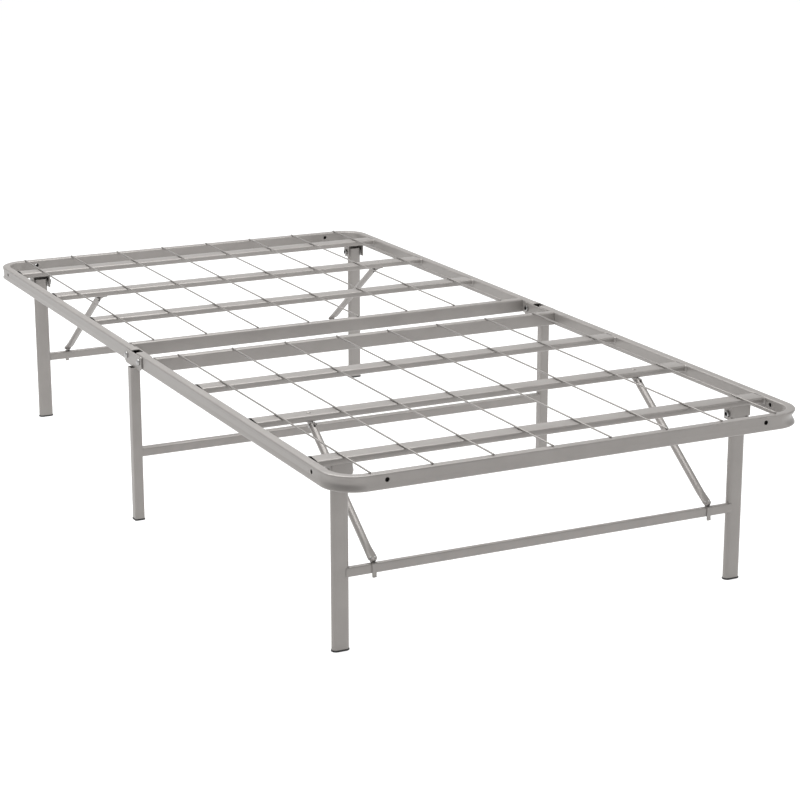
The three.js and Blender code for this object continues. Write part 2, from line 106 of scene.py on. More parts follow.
floor_shader.inputs["Roughness"].default_value = 1
floor_shader.inputs["Specular IOR Level"].default_value = 0
floor_shader.inputs["Emission Color"].default_value = (1, 1, 1, 1)
floor_shader.inputs["Emission Strength"].default_value = FLOOR_GLOW
floor_mesh.materials.append(floor_material)
floor = bpy.data.objects.new("studio_floor", floor_mesh)
bpy.context.scene.collection.objects.link(floor)
floor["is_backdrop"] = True

world = bpy.data.worlds.new("studio")
world.use_nodes = True
world_nodes = world.node_tree.nodes
world_links = world.node_tree.links
sky_place = world_nodes.new("ShaderNodeTexCoord")
sky_height = world_nodes.new("ShaderNodeSeparateXYZ")
sky_tone = world_nodes.new("ShaderNodeMapRange")
sky_tone.inputs["From Min"].default_value = SKY_FADE_START
sky_tone.inputs["From Max"].default_value = SKY_FADE_END
sky_tone.inputs["To Min"].default_value = SKY_LOW
sky_tone.inputs["To Max"].default_value = SKY_HIGH
world_links.new(sky_place.outputs["Generated"], sky_height.inputs["Vector"])
world_links.new(sky_height.outputs["Z"], sky_tone.inputs["Value"])
world_links.new(sky_tone.outputs["Result"], world_nodes["Background"].inputs["Strength"])
world_nodes["Background"].inputs["Color"].default_value = (1, 1, 1, 1)
bpy.context.scene.world = world
bpy.context.scene.view_settings.view_transform = "Standard"


def soft_light(name, place, target, size, power):
    """A square area light that faces a target."""
    data = bpy.data.lights.new(name, "AREA")
    data.size = size
    data.energy = power
    light = bpy.data.objects.new(name, data)
    light.location = place
    direction = Vector(target) - Vector(place)
    light.rotation_euler = direction.to_track_quat("-Z", "Y").to_euler()
    bpy.context.scene.collection.objects.link(light)


soft_light("overhead_light", OVERHEAD_PLACE, OVERHEAD_TARGET, OVERHEAD_SIZE, OVERHEAD_POWER)
soft_light("side_light", SIDE_PLACE, SIDE_TARGET, SIDE_SIZE, SIDE_POWER)

# ---- Bent side and end rails ----
# Each half is one length of rectangular steel tube, crush bent at its two corners, drilled and
# painted satin warm grey. The outer wall of each bend is pressed in at mid height by the bender.
MM = 0.001
HALVES = (("foot", -1), ("head", 1))
HANDS = (("left", -1), ("right", 1))
RAIL_WIDTH = 18 * MM
RAIL_HEIGHT = 28 * MM
RAIL_CORNER = 3.2 * MM
RAIL_BEND = 52 * MM
TUBE_WALL = 1.5 * MM
BEND_STEPS = 24
WALL_ROWS = 7
CRUSH_DEPTH = 5.8 * MM
CRUSH_SPREAD = 0.7
CORNER_STEPS = 6
LEAST_CORNER = 0.4 * MM
MERGE_DISTANCE = 0.002 * MM
LEVEL_WITHIN = 0.0001 * MM
FIXING_HOLE = 4.2 * MM
FIXING_INSET = 94 * MM
FIXING_DROP = 11 * MM
BOLT_HOLE = 4.4 * MM
HINGE_BOLT_Y = 34 * MM
HOLE_SIDES = 24
SOFT_ANGLE = 35
PAINT_LIGHT = (0.272, 0.256, 0.243)
PAINT_DARK = (0.248, 0.233, 0.221)
PAINT_ROUGHNESS = 0.4
PAINT_METALLIC = 0.35
PAINT_GLOSS_COAT = 0.12
PAINT_COAT_ROUGHNESS = 0.3
PAINT_CLOUD = 22
PAINT_GLOSS_LESS = 0.05
PAINT_GLOSS_MORE = 0.07
PEEL_GRAIN = 900
PEEL_STRENGTH = 0.12
PEEL_HEIGHT = 0.12 * MM


def paint_material(name, light, dark, roughness):
    """Satin paint on steel: a faint cloudy tone, fine orange peel and a thin clear gloss."""
    material = bpy.data.materials.new(name)
    material.use_nodes = True
    nodes = material.node_tree.nodes
    links = material.node_tree.links
    shader = nodes["Principled BSDF"]
    shader.inputs["Metallic"].default_value = PAINT_METALLIC
    shader.inputs["Coat Weight"].default_value = PAINT_GLOSS_COAT
    shader.inputs["Coat Roughness"].default_value = PAINT_COAT_ROUGHNESS
    place = nodes.new("ShaderNodeTexCoord")
    cloud = nodes.new("ShaderNodeTexNoise")
    cloud.inputs["Scale"].default_value = PAINT_CLOUD
    cloud.inputs["Detail"].default_value = 4
    tone = nodes.new("ShaderNodeValToRGB")
    tone.color_ramp.elements[0].position = 0.3
    tone.color_ramp.elements[0].color = (*dark, 1)
    tone.color_ramp.elements[1].position = 0.7
    tone.color_ramp.elements[1].color = (*light, 1)
    links.new(place.outputs["Object"], cloud.inputs["Vector"])
    links.new(cloud.outputs["Fac"], tone.inputs["Fac"])
    links.new(tone.outputs["Color"], shader.inputs["Base Color"])
    gloss = nodes.new("ShaderNodeMapRange")
    gloss.inputs["To Min"].default_value = roughness - PAINT_GLOSS_LESS
    gloss.inputs["To Max"].default_value = roughness + PAINT_GLOSS_MORE
    links.new(cloud.outputs["Fac"], gloss.inputs["Value"])
    links.new(gloss.outputs["Result"], shader.inputs["Roughness"])
    peel = nodes.new("ShaderNodeTexNoise")
    peel.inputs["Scale"].default_value = PEEL_GRAIN
    peel.inputs["Detail"].default_value = 2
    bump = nodes.new("ShaderNodeBump")
    bump.inputs["Strength"].default_value = PEEL_STRENGTH
    bump.inputs["Distance"].default_value = PEEL_HEIGHT
    links.new(place.outputs["Object"], peel.inputs["Vector"])
    links.new(peel.outputs["Fac"], bump.inputs["Height"])
    links.new(bump.outputs["Normal"], shader.inputs["Normal"])
    return material


frame_paint = paint_material("satin_warm_grey_paint", PAINT_LIGHT, PAINT_DARK, PAINT_ROUGHNESS)


def axes(across, up, place):
    """A placing matrix that takes a drawn section's x to across and its y to up."""
    across, up = Vector(across).normalized(), Vector(up).normalized()
    turn = Matrix((across, up, across.cross(up))).transposed()
    return Matrix.Translation(place) @ turn.to_4x4()


def section_ring(bm, width, height, corner, place, rows=0):
    """The outline of a tube: a rectangle with rounded corners and, where asked, rows of extra points
    up its two upright walls. Its corners stop just short of meeting, so that no edge has no length."""
    made = bmesh.ops.create_grid(bm, x_segments=1, y_segments=1, size=0.5)
    bmesh.ops.scale(bm, vec=(width, height, 1), verts=made["verts"])
    round_part = min(corner, 0.499 * width, 0.499 * height)
    rounded = bmesh.ops.bevel(
        bm, geom=made["verts"], offset=round_part, segments=CORNER_STEPS, profile=0.5,
        affect="VERTICES", material=-1)
    face = rounded["verts"][0].link_faces[0]
    walls = [e for e in face.edges if abs(e.verts[0].co.x - e.verts[1].co.x) < LEVEL_WITHIN]
    verts = list(face.verts)
    bmesh.ops.delete(bm, geom=[face], context="FACES_ONLY")
    bmesh.ops.transform(bm, matrix=place, verts=verts)
    if rows:
        bmesh.ops.subdivide_edges(bm, edges=walls, cuts=rows)
    return [e for e in bm.edges if e.is_wire]


def run_on(bm, ring, step):
    """Extrudes an open ring of edges by a step and returns the new ring."""
    grown = bmesh.ops.extrude_edge_only(bm, edges=ring)["geom"]
    bmesh.ops.translate(bm, vec=step, verts=[g for g in grown if isinstance(g, bmesh.types.BMVert)])
    return [g for g in grown if isinstance(g, bmesh.types.BMEdge)]


def turn_on(bm, ring, centre, angle):
    """Sweeps an open ring round an upright axis and returns the new ring."""
    swept = bmesh.ops.spin(bm, geom=ring, cent=centre, axis=(0, 0, 1), angle=angle, steps=BEND_STEPS)
    return [g for g in swept["geom_last"] if isinstance(g, bmesh.types.BMEdge)]


def hollow_tube(width, height, corner, wall, place, sweep, rows=0):
    """A tube with open ends: an outer and an inner skin swept the same way and joined at both ends."""
    bm = bmesh.new()
    skins = []
    for inset in (0, wall):
        before = set(bm.faces)
        skin_corner = max(corner - inset, LEAST_CORNER)
        ring = section_ring(bm, width - 2 * inset, height - 2 * inset, skin_corner, place, rows)
        last = sweep(bm, ring)
        skins.append((ring, last))
        if inset:
            bmesh.ops.reverse_faces(bm, faces=[f for f in bm.faces if f not in before])
    for end in (0, 1):
        bmesh.ops.bridge_loops(bm, edges=skins[0][end] + skins[1][end])
    return bm


def straight_tube(low, high, axis, corner, wall):
    """A hollow tube that fills a box from end to end along one axis."""
    middle = (low + high) / 2
    size = high - low
    if axis == "X":
        place = axes((0, 1, 0), (0, 0, 1), (low.x, middle.y, middle.z))
        width, height, step = size.y, size.z, (size.x, 0, 0)
    else:
        place = axes((1, 0, 0), (0, 1, 0), (middle.x, middle.y, low.z))
        width, height, step = size.x, size.y, (0, 0, size.z)
    return hollow_tube(width, height, corner, wall, place, lambda bm, ring: run_on(bm, ring, step))


def finished(name, bm, material, body, nodes, soft_angle=SOFT_ANGLE):
    """Turns a bmesh into a piece that rides on a body and stands for CAD nodes."""
    bmesh.ops.remove_doubles(bm, verts=bm.verts, dist=MERGE_DISTANCE)
    bmesh.ops.recalc_face_normals(bm, faces=bm.faces)
    mesh = bpy.data.meshes.new(name)
    bm.to_mesh(mesh)
    bm.free()
    mesh.polygons.foreach_set("use_smooth", [True] * len(mesh.polygons))
    mesh.set_sharp_from_angle(angle=math.radians(soft_angle))
    mesh.materials.append(material)
    piece = bpy.data.objects.new(name, mesh)
    bpy.context.scene.collection.objects.link(piece)
    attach(piece, body)
    if nodes:
        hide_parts(*nodes)
    return piece


def cut_away(piece, cutter_bm):
    """Takes a closed shape out of a piece and keeps the result as the piece's mesh."""
    mesh = bpy.data.meshes.new("cutter")
    cutter_bm.to_mesh(mesh)
    cutter_bm.free()
    cutter = bpy.data.objects.new("cutter", mesh)
    bpy.context.scene.collection.objects.link(cutter)
    cut = piece.modifiers.new("cut", "BOOLEAN")
    cut.object = cutter
    cut.solver = "EXACT"
    graph = bpy.context.evaluated_depsgraph_get()
    result = bpy.data.meshes.new_from_object(piece.evaluated_get(graph))
    piece.modifiers.clear()
    piece.data = result
    result.name = piece.name
    bpy.data.objects.remove(cutter)


def drill(piece, holes, length):
    """Cuts round holes of one length, each given as its middle, its axis and its radius."""
    bm = bmesh.new()
    for place, axis, radius in holes:
        turn = Vector((0, 0, 1)).rotation_difference(Vector(axis)).to_matrix().to_4x4()
        bmesh.ops.create_cone(
            bm, cap_ends=True, segments=HOLE_SIDES, radius1=radius, radius2=radius, depth=length,
            matrix=Matrix.Translation(place) @ turn)
    cut_away(piece, bm)


for half, side in HALVES:
    low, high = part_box(f"{half}_rail")
    mid_z = (low.z + high.z) / 2
    rail_x = high.x - RAIL_WIDTH / 2
    outer_y = max(abs(low.y), abs(high.y))
    end_y = outer_y - RAIL_WIDTH / 2
    open_end = min(abs(low.y), abs(high.y))
    straight_end = end_y - RAIL_BEND
    bend_x = rail_x - RAIL_BEND
    leg_run = (0, side * (straight_end - open_end), 0)
    back_run = (0, -side * (straight_end - open_end), 0)
    quarter = -side * math.pi / 2

    def round_the_half(bm, ring):
        """Out along the left side, across the end and back along the right side."""
        ring = run_on(bm, ring, leg_run)
        ring = turn_on(bm, ring, (-bend_x, side * straight_end, mid_z), quarter)
        ring = run_on(bm, ring, (2 * bend_x, 0, 0))
        ring = turn_on(bm, ring, (bend_x, side * straight_end, mid_z), quarter)
        return run_on(bm, ring, back_run)

    start = axes((1, 0, 0), (0, 0, 1), (-rail_x, side * open_end, mid_z))
    bm = hollow_tube(RAIL_WIDTH, RAIL_HEIGHT, RAIL_CORNER, TUBE_WALL, start, round_the_half, WALL_ROWS)
    for v in bm.verts:
        across = abs(v.co.x) - bend_x
        beyond = v.co.y * side - straight_end
        reach = math.hypot(across, beyond)
        if across > 0 and beyond > 0 and reach > RAIL_BEND:
            through_bend = math.sin(2 * math.atan2(beyond, across)) ** CRUSH_SPREAD
            up_wall = math.cos(math.pi * (v.co.z - mid_z) / RAIL_HEIGHT) ** 2
            outward = min((reach - RAIL_BEND) / (RAIL_WIDTH / 2 - TUBE_WALL), 1)
            pressed = 1 - CRUSH_DEPTH * through_bend * up_wall * outward / reach
            v.co.x = math.copysign(bend_x + across * pressed, v.co.x)
            v.co.y = side * (straight_end + beyond * pressed)
    rail = finished(f"{half}_bent_rail", bm, frame_paint, f"{half}_half", [f"{half}_rail"])
    holes = []
    fixing_z = high.z - FIXING_DROP
    for hand, sign in HANDS:
        side_fixing = (sign * rail_x, side * (outer_y - FIXING_INSET), fixing_z)
        end_fixing = (sign * (high.x - FIXING_INSET), side * end_y, fixing_z)
        hinge_bolt = (sign * rail_x, side * HINGE_BOLT_Y, mid_z)
        holes.append((side_fixing, (1, 0, 0), FIXING_HOLE))
        holes.append((end_fixing, (0, 1, 0), FIXING_HOLE))
        holes.append((hinge_bolt, (1, 0, 0), BOLT_HOLE))
    drill(rail, holes, 1.4 * RAIL_WIDTH)

# ---- Hinge cross rails ----
# A straight length of the same steel tube beside the hinge, welded between the side rails and
# painted with them; the wires of its half end on it.
for half, side in HALVES:
    node = f"{half}_hinge_cross_rail"
    low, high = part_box(node)
    bm = straight_tube(low, high, "X", RAIL_CORNER, TUBE_WALL)
    finished(f"{half}_cross_rail_tube", bm, frame_paint, f"{half}_half", [node])

# ---- Slats and leg brackets ----
# Flattened steel tubes welded between the side rails, flush with their tops. A folded steel bracket
# under each end of the outermost slat holds a leg's pivot bolt.
SLAT_WALL = 1.2 * MM
SLAT_CORNER = 4 * MM
WELD_REACH = 3.2 * MM
WELD_LEG = 2.4 * MM
WELD_EDGE = 0.6 * MM
WELD_SOFT_ANGLE = 60
BRACKET_SHEET = 2.5 * MM
BRACKET_BEND = 3 * MM
BRACKET_BEND_STEPS = 5
BRACKET_WEB = 14.5 * MM
BRACKET_OPEN = 12 * MM
BRACKET_TUCK = 1 * MM
BRACKET_NOTCH = 7 * MM
BRACKET_NOTCH_REACH = 8 * MM
LEG_SIDE_GAP = 2 * MM


def end_weld(name, low, high, at_x, inward, body):
    """A low fillet of weld bead round a slat's end, widest at the rail."""
    middle = (low + high) / 2
    width, height = high.y - low.y, high.z - low.z
    bm = bmesh.new()
    place = axes((0, 1, 0), (0, 0, 1), (at_x, middle.y, middle.z - WELD_LEG / 2))
    wide = section_ring(bm, width + 2 * WELD_LEG, height + WELD_LEG, height / 2, place)
    narrow = run_on(bm, wide, (inward * WELD_REACH, 0, 0))
    rim = list({v for e in narrow for v in e.verts})
    shrink = (1, width / (width + 2 * WELD_LEG), height / (height + WELD_LEG))
    centre = Matrix.Translation((-at_x, -middle.y, -high.z))
    bmesh.ops.scale(bm, vec=shrink, verts=rim, space=centre)
    bmesh.ops.contextual_create(bm, geom=wide)
    bmesh.ops.contextual_create(bm, geom=narrow)
    bmesh.ops.bevel(
        bm, geom=narrow, offset=WELD_EDGE, segments=2, profile=0.5, affect="EDGES", material=-1)
    finished(name, bm, frame_paint, body, [], WELD_SOFT_ANGLE)


def slat_piece(half, name, low, high, node):
    """A slat's tube that fills a box, with a weld round each end."""
    body = f"{half}_half"
    bm = straight_tube(low, high, "X", SLAT_CORNER, SLAT_WALL)
    finished(name, bm, frame_paint, body, [node])
    end_weld(f"{name}_weld_left", low, high, low.x, 1, body)
    end_weld(f"{name}_weld_right", low, high, high.x, -1, body)


for half, side in HALVES:
    body = f"{half}_half"
    for number in (2, 3):
        node = f"{half}_slat_{number}"
        slat_piece(half, f"{node}_tube", *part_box(node), node)
    second_low, second_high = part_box(f"{half}_slat_2")
    node = f"{half}_slat_1_with_leg_brackets"
    low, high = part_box(node)
    leg_low, leg_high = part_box(f"{half}_leg_left")
    slat_y = (leg_low.y + leg_high.y) / 2
    half_width = (second_high.y - second_low.y) / 2
    first_low = Vector((low.x, slat_y - half_width, second_low.z))
    first_high = Vector((high.x, slat_y + half_width, second_high.z))
    slat_piece(half, f"{half}_slat_1_tube", first_low, first_high, node)
    for hand, sign in HANDS:
        leg_low, leg_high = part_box(f"{half}_leg_{hand}")
        bolt_low, bolt_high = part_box(f"{half}_leg_{hand}_bolt")
        leg_x = (leg_low.x + leg_high.x) / 2
        ear_x = (leg_high.x - leg_low.x) / 2 + LEG_SIDE_GAP + BRACKET_SHEET
        inner_x = ear_x - BRACKET_SHEET
        web_y = slat_y + side * BRACKET_WEB
        web_in = web_y - side * BRACKET_SHEET
        open_y = slat_y - side * BRACKET_OPEN
        bm = bmesh.new()
        outline = (
            (-ear_x, open_y), (-ear_x, web_y), (ear_x, web_y), (ear_x, open_y),
            (inner_x, open_y), (inner_x, web_in), (-inner_x, web_in), (-inner_x, open_y))
        points = [bm.verts.new((leg_x + x, y, low.z)) for x, y in outline]
        for pair in zip(points, points[1:] + points[:1]):
            bm.edges.new(pair)
        bmesh.ops.bevel(
            bm, geom=points[1:3], offset=BRACKET_BEND, segments=BRACKET_BEND_STEPS, profile=0.5,
            affect="VERTICES", material=-1)
        base = list(bm.edges)
        top = run_on(bm, base, (0, 0, first_low.z + BRACKET_TUCK - low.z))
        bmesh.ops.contextual_create(bm, geom=base)
        bmesh.ops.contextual_create(bm, geom=top)
        name = f"{half}_leg_bracket_{hand}"
        bracket = finished(name, bm, frame_paint, body, [])
        pivot = (bolt_low + bolt_high) / 2
        drill(bracket, [(pivot, (1, 0, 0), BOLT_HOLE)], 3 * ear_x)
        notch = bmesh.new()
        notch_y = slat_y + side * (BRACKET_NOTCH_REACH + BRACKET_WEB / 2)
        notch_place = Matrix.Translation((leg_x, notch_y, low.z))
        notch_size = Matrix.Diagonal((3 * ear_x, BRACKET_WEB, 2 * BRACKET_NOTCH, 1))
        bmesh.ops.create_cube(notch, size=1, matrix=notch_place @ notch_size)
        cut_away(bracket, notch)

# ---- Support wires ----
# Round drawn steel wire, painted, laid across the slats from the end rail to the hinge cross rail
# and spot welded to each slat; the weld spots are coloured near black as painted shade where the wire meets
# the slat.
WIRE_SIDES = 10
SPOT_LENGTH = 8 * MM
SPOT_WIDTH = 6 * MM
SPOT_HEIGHT = 1.7 * MM
WIRE_EDGE_SHARE = 0.3
WIRE_LIGHT = (0.25, 0.235, 0.223)
WIRE_DARK = (0.215, 0.202, 0.192)
WIRE_ROUGHNESS = 0.38
# Near-black colour for the weld spots under the wires: painted shade where each wire meets a slat.
SPOT_SHADE_LIGHT = (0.09, 0.085, 0.08)
SPOT_SHADE_DARK = (0.05, 0.047, 0.045)
SPOT_SHADE_ROUGHNESS = 0.5
wire_paint = paint_material("wire_paint", WIRE_LIGHT, WIRE_DARK, WIRE_ROUGHNESS)
weld_spot_shade = paint_material("weld_spots_painted_shade", SPOT_SHADE_LIGHT, SPOT_SHADE_DARK, SPOT_SHADE_ROUGHNESS)

for half, side in HALVES:
    leg_low, leg_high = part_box(f"{half}_leg_left")
    crossings = [(leg_low.y + leg_high.y) / 2]
    for number in (2, 3):
        low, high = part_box(f"{half}_slat_{number}")
        crossings.append((low.y + high.y) / 2)
    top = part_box(f"{half}_slat_2")[1].z
    spots = bmesh.new()
    for number in range(1, 9):
        node = f"{half}_wire_{number}"
        low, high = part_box(node)
        middle = (low + high) / 2
        radius = (high.z - low.z) / 2
        bm = bmesh.new()
        along_y = Matrix.Rotation(math.radians(90), 4, "X")
        bmesh.ops.create_cone(
            bm, cap_ends=True, segments=WIRE_SIDES, radius1=radius, radius2=radius,
            depth=high.y - low.y, matrix=Matrix.Translation(middle) @ along_y)
        rims = [e for e in bm.edges if abs(e.verts[0].co.y - e.verts[1].co.y) < LEVEL_WITHIN]
        bmesh.ops.bevel(
            bm, geom=rims, offset=radius * WIRE_EDGE_SHARE, segments=2, profile=0.5,
            affect="EDGES", material=-1)
        finished(f"{node}_round", bm, wire_paint, f"{half}_half", [node])
        for crossing in crossings:
            spot_place = Matrix.Translation((middle.x, crossing, top))
            spot_size = Matrix.Diagonal((SPOT_WIDTH / 2, SPOT_LENGTH / 2, SPOT_HEIGHT, 1))
            bmesh.ops.create_icosphere(spots, subdivisions=2, radius=1, matrix=spot_place @ spot_size)
    # The weld spots carry the painted shade material, dark where the wire meets the slat.
    finished(f"{half}_wire_weld_spots_painted_shade", spots, weld_spot_shade, f"{half}_half", [])

# ---- Legs ----
# The end legs are flat oval tube that pivots under the outermost slats; the two centre legs are
# square tube welded under the hinge brackets, a little outboard, with their tops left open.
LEG_WALL = 1.5 * MM
CENTRE_LEG_CORNER = 3 * MM

for half, side in HALVES:
    for hand, sign in HANDS:
        node = f"{half}_leg_{hand}"
        low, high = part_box(node)
        bolt_low, bolt_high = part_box(f"{node}_bolt")
        bm = straight_tube(low, high, "Z", (high.y - low.y) / 2, LEG_WALL)
        leg = finished(f"{node}_tube", bm, frame_paint, f"{half}_legs", [node])
        drill(leg, [((bolt_low + bolt_high) / 2, (1, 0, 0), BOLT_HOLE)], 2 * (high.x - low.x))
for hand, sign in HANDS:
    node = f"centre_leg_{hand}"
    bm = straight_tube(*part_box(node), "Z", CENTRE_LEG_CORNER, LEG_WALL)
    finished(f"{node}_tube", bm, frame_paint, "centre_frame", [node])

# ---- Stretchers ----
# Rectangular steel tube with round corners, welded between each pair of legs to keep them apart,
# with its ends coped to fit into the flanks of the legs.
STRETCHER_CORNER = 3 * MM
END_COPE = 8 * MM
CENTRE_COPE = 3 * MM
for node, body, cope in (
        ("foot_stretcher", "foot_legs", END_COPE), ("head_stretcher", "head_legs", END_COPE),
        ("centre_stretcher", "centre_frame", CENTRE_COPE)):
    low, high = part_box(node)
    into_leg = Vector((cope, 0, 0))
    bm = straight_tube(low - into_leg, high + into_leg, "X", STRETCHER_CORNER, LEG_WALL)
    finished(f"{node}_tube", bm, frame_paint, body, [node])

# ---- Foot pads ----
# Thin moulded caps of matt black plastic, pressed into the bottoms of the legs, with a softly
# rounded rim that stands a little proud of the tube.
PAD_ROUGHNESS = 0.62
PAD_GRAIN = 1400
PAD_DARK = (0.008, 0.008, 0.008)
PAD_LIGHT = (0.02, 0.02, 0.021)
PAD_BUMP_STRENGTH = 0.3
PAD_BUMP_HEIGHT = 0.2 * MM
PAD_EDGE = 0.8 * MM
PAD_OVERHANG = 1 * MM
pad_plastic = bpy.data.materials.new("black_foot_plastic")
pad_plastic.use_nodes = True
pad_nodes = pad_plastic.node_tree.nodes
pad_links = pad_plastic.node_tree.links
pad_shader = pad_nodes["Principled BSDF"]
pad_shader.inputs["Roughness"].default_value = PAD_ROUGHNESS
pad_place = pad_nodes.new("ShaderNodeTexCoord")
pad_grain = pad_nodes.new("ShaderNodeTexNoise")
pad_grain.inputs["Scale"].default_value = PAD_GRAIN
pad_tone = pad_nodes.new("ShaderNodeValToRGB")
pad_tone.color_ramp.elements[0].color = (*PAD_DARK, 1)
pad_tone.color_ramp.elements[1].color = (*PAD_LIGHT, 1)
pad_bump = pad_nodes.new("ShaderNodeBump")
pad_bump.inputs["Strength"].default_value = PAD_BUMP_STRENGTH
pad_bump.inputs["Distance"].default_value = PAD_BUMP_HEIGHT
pad_links.new(pad_place.outputs["Object"], pad_grain.inputs["Vector"])
pad_links.new(pad_grain.outputs["Fac"], pad_tone.inputs["Fac"])
pad_links.new(pad_tone.outputs["Color"], pad_shader.inputs["Base Color"])
pad_links.new(pad_grain.outputs["Fac"], pad_bump.inputs["Height"])
pad_links.new(pad_bump.outputs["Normal"], pad_shader.inputs["Normal"])

pads = []
for half, side in HALVES:
    for hand, sign in HANDS:
        low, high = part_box(f"{half}_leg_{hand}_pad")
        pads.append((f"{half}_leg_{hand}_pad", f"{half}_legs", (high.y - low.y) / 2))
for hand, sign in HANDS:
    pads.append((f"centre_leg_{hand}_pad", "centre_frame", CENTRE_LEG_CORNER + PAD_OVERHANG))
for node, body, corner in pads:
    low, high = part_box(node)
    middle = (low + high) / 2
    place = axes((1, 0, 0), (0, 1, 0), (middle.x, middle.y, low.z))
    bm = bmesh.new()
    ring = section_ring(bm, high.x - low.x, high.y - low.y, corner, place)
    rim = run_on(bm, ring, (0, 0, high.z - low.z))
    bmesh.ops.contextual_create(bm, geom=ring)
    bmesh.ops.contextual_create(bm, geom=rim)
    edges = [e for e in bm.edges if abs(e.verts[0].co.z - e.verts[1].co.z) < LEVEL_WITHIN]
    bmesh.ops.bevel(bm, geom=edges, offset=PAD_EDGE, segments=3, profile=0.5, affect="EDGES", material=-1)
    finished(f"{node}_cap", bm, pad_plastic, body, [node])

# ---- Hinge brackets ----
# A pressed steel channel at each rail joint, painted with the frame: two plates beside the rail
# ends, bolted through both rails, and a web below them, which is welded to the centre leg.
EDGE_ROUNDING = 0.5 * MM
EDGE_ANGLE = 50
FLAT_ANGLE = 1
COPY_MERGE_DISTANCE = 0.01 * MM


def softened(node, name, body, width):
    """The node's own plate with its cut edges broken by a small bevel."""
    bm = bmesh.new()
    bm.from_mesh(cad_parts[node].data)
    bmesh.ops.remove_doubles(bm, verts=bm.verts, dist=COPY_MERGE_DISTANCE)
    bmesh.ops.dissolve_limit(
        bm, angle_limit=math.radians(FLAT_ANGLE), verts=bm.verts, edges=bm.edges,
        use_dissolve_boundaries=False)
    piece = finished(name, bm, frame_paint, body, [node])
    edge = piece.modifiers.new("broken_edges", "BEVEL")
    edge.width = width
    edge.segments = 2
    edge.limit_method = "ANGLE"
    edge.angle_limit = math.radians(EDGE_ANGLE)


for hand, sign in HANDS:
    softened(f"centre_hinge_bracket_{hand}", f"centre_hinge_channel_{hand}", "centre_frame", EDGE_ROUNDING)

# ---- Bolts and lock nuts ----
# Zinc plated steel bolts: a low domed head outside and a hexagon lock nut inside. They hold the
# hinge brackets to the rails and the end legs to their brackets, and let both turn.
ZINC_DARK = (0.26, 0.255, 0.25)
ZINC_LIGHT = (0.46, 0.455, 0.45)
ZINC_GLOSS_LOW = 0.22
ZINC_GLOSS_HIGH = 0.42
ZINC_CLOUD = 260
zinc = bpy.data.materials.new("zinc_plate")
zinc.use_nodes = True
zinc_nodes = zinc.node_tree.nodes
zinc_links = zinc.node_tree.links
zinc_shader = zinc_nodes["Principled BSDF"]
zinc_shader.inputs["Metallic"].default_value = 1
zinc_place = zinc_nodes.new("ShaderNodeTexCoord")
zinc_cloud = zinc_nodes.new("ShaderNodeTexNoise")
zinc_cloud.inputs["Scale"].default_value = ZINC_CLOUD
zinc_tone = zinc_nodes.new("ShaderNodeValToRGB")
zinc_tone.color_ramp.elements[0].color = (*ZINC_DARK, 1)
zinc_tone.color_ramp.elements[1].color = (*ZINC_LIGHT, 1)
zinc_gloss = zinc_nodes.new("ShaderNodeMapRange")
zinc_gloss.inputs["To Min"].default_value = ZINC_GLOSS_LOW
zinc_gloss.inputs["To Max"].default_value = ZINC_GLOSS_HIGH
zinc_links.new(zinc_place.outputs["Object"], zinc_cloud.inputs["Vector"])
zinc_links.new(zinc_cloud.outputs["Fac"], zinc_tone.inputs["Fac"])
zinc_links.new(zinc_tone.outputs["Color"], zinc_shader.inputs["Base Color"])
zinc_links.new(zinc_cloud.outputs["Fac"], zinc_gloss.inputs["Value"])
zinc_links.new(zinc_gloss.outputs["Result"], zinc_shader.inputs["Roughness"])

SHANK = 4 * MM
HEAD_RADIUS = 6.8 * MM
HEAD_HEIGHT = 4.2 * MM
NUT_RADIUS = 6.9 * MM
NUT_HEIGHT = 4 * MM
NUT_EDGE = 0.5 * MM
NUT_FILL = 0.9
HEAD_ALLOWANCE = 4.5 * MM
HEAD_STEPS = 28
SHANK_SIDES = 20
BOLT_SOFT_ANGLE = 40


def bolt_piece(node, body):
    """A lathe-turned bolt along X: dome, shank and a six-sided nut, the head away from the middle."""
    low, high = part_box(node)
    middle = (low + high) / 2
    outward = math.copysign(1, middle.x)
    grip = (high.x - low.x) / 2 - HEAD_ALLOWANCE
    bm = bmesh.new()
    profile = (
        (grip, 0),
        (grip, HEAD_RADIUS),
        (grip + HEAD_HEIGHT * 0.3, HEAD_RADIUS),
        (grip + HEAD_HEIGHT * 0.65, HEAD_RADIUS * 0.86),
        (grip + HEAD_HEIGHT * 0.9, HEAD_RADIUS * 0.55),
        (grip + HEAD_HEIGHT, 0))
    verts = [bm.verts.new((outward * x, r, 0)) for x, r in profile]
    edges = [bm.edges.new(pair) for pair in zip(verts, verts[1:])]
    bmesh.ops.spin(
        bm, geom=verts + edges, cent=(0, 0, 0), axis=(1, 0, 0), angle=2 * math.pi, steps=HEAD_STEPS,
        use_merge=True)
    along_x = Matrix.Rotation(math.radians(90), 4, "Y")
    shank_middle = Matrix.Translation((-outward * NUT_HEIGHT * (1 - NUT_FILL), 0, 0))
    bmesh.ops.create_cone(
        bm, cap_ends=True, segments=SHANK_SIDES, radius1=SHANK, radius2=SHANK,
        depth=2 * grip + 2 * NUT_HEIGHT * NUT_FILL, matrix=shank_middle @ along_x)
    nut_middle = Matrix.Translation((-outward * (grip + NUT_HEIGHT / 2), 0, 0))
    nut = bmesh.ops.create_cone(
        bm, cap_ends=True, segments=6, radius1=NUT_RADIUS, radius2=NUT_RADIUS, depth=NUT_HEIGHT,
        matrix=nut_middle @ along_x)
    nut_edges = list({e for v in nut["verts"] for e in v.link_edges})
    bmesh.ops.bevel(
        bm, geom=nut_edges, offset=NUT_EDGE, segments=2, profile=0.5, affect="EDGES", material=-1)
    bmesh.ops.translate(bm, vec=middle, verts=bm.verts)
    finished(f"{node}_and_nut", bm, zinc, body, [node], BOLT_SOFT_ANGLE)


